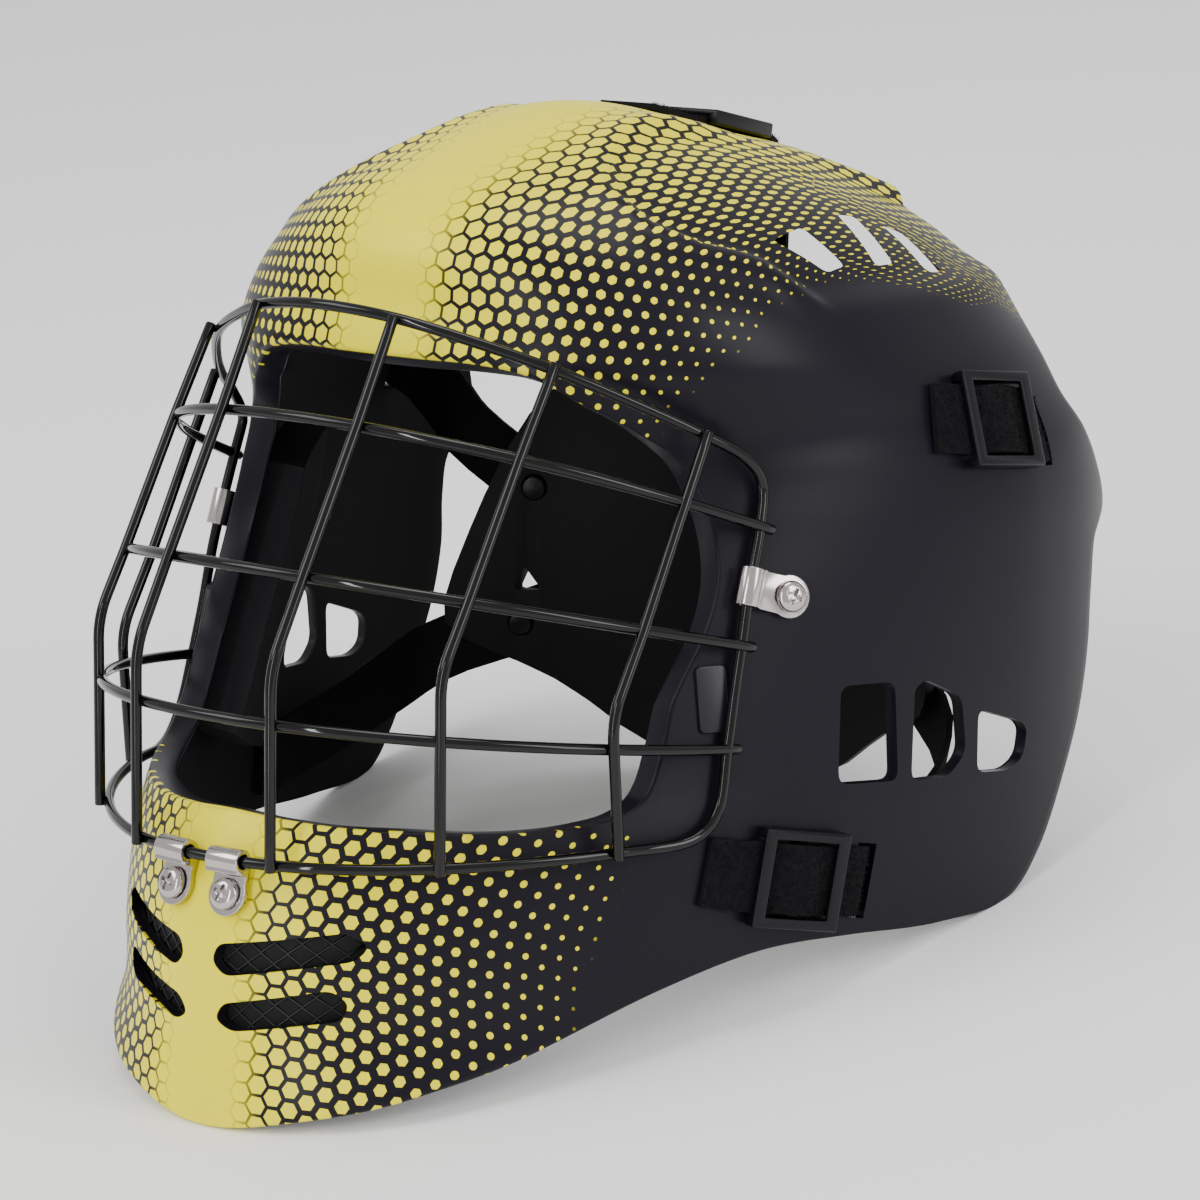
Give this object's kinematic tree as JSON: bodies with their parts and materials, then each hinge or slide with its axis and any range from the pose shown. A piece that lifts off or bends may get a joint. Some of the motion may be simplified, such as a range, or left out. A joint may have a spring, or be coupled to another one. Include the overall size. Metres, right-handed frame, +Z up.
{
  "type": "floorball goalie mask",
  "caption": "Charcoal moulded helmet shell with a yellow honeycomb print, a black welded wire face cage, and a back plate held by elastic straps with buckles.",
  "frame": {"origin": "on the floor, at the middle of the base of the bounding box", "axes": "+Z up as it rests, -Y where the face looks, +X on the wearer's left; the mirror plane is X = 0"},
  "size_m": [0.2674, 0.311, 0.2392],
  "materials": {
    "shell": "satin, printed",
    "plate": "satin",
    "wire": "gloss",
    "nickel": "bright",
    "screen": "matte",
    "foam": "matte",
    "webbing": "matte",
    "buckle": "satin"
  },
  "bodies": {
    "root": {"shell": "shell", "cage": "wire", "clip_chin_left": "nickel", "screw_chin_left": "nickel", "clip_chin_right": "nickel", "screw_chin_right": "nickel", "clip_side_left": "nickel", "screw_side_left": "nickel", "clip_side_right": "nickel", "screw_side_right": "nickel", "mouth_screen": "screen", "brow_pad": "foam", "cheek_pad_left": "foam", "cheek_pad_right": "foam", "strap_lower_left": "webbing", "buckle_lower_left": "buckle", "rivet_lower_left": "buckle", "strap_lower_right": "webbing", "buckle_lower_right": "buckle", "rivet_lower_right": "buckle", "strap_upper_left": "webbing", "buckle_upper_left": "buckle", "rivet_upper_left": "buckle", "strap_upper_right": "webbing", "buckle_upper_right": "buckle", "rivet_upper_right": "buckle", "strap_crown": "webbing", "buckle_crown": "buckle", "rivet_crown": "buckle", "back_plate": "plate"}
  },
  "joints": []
}
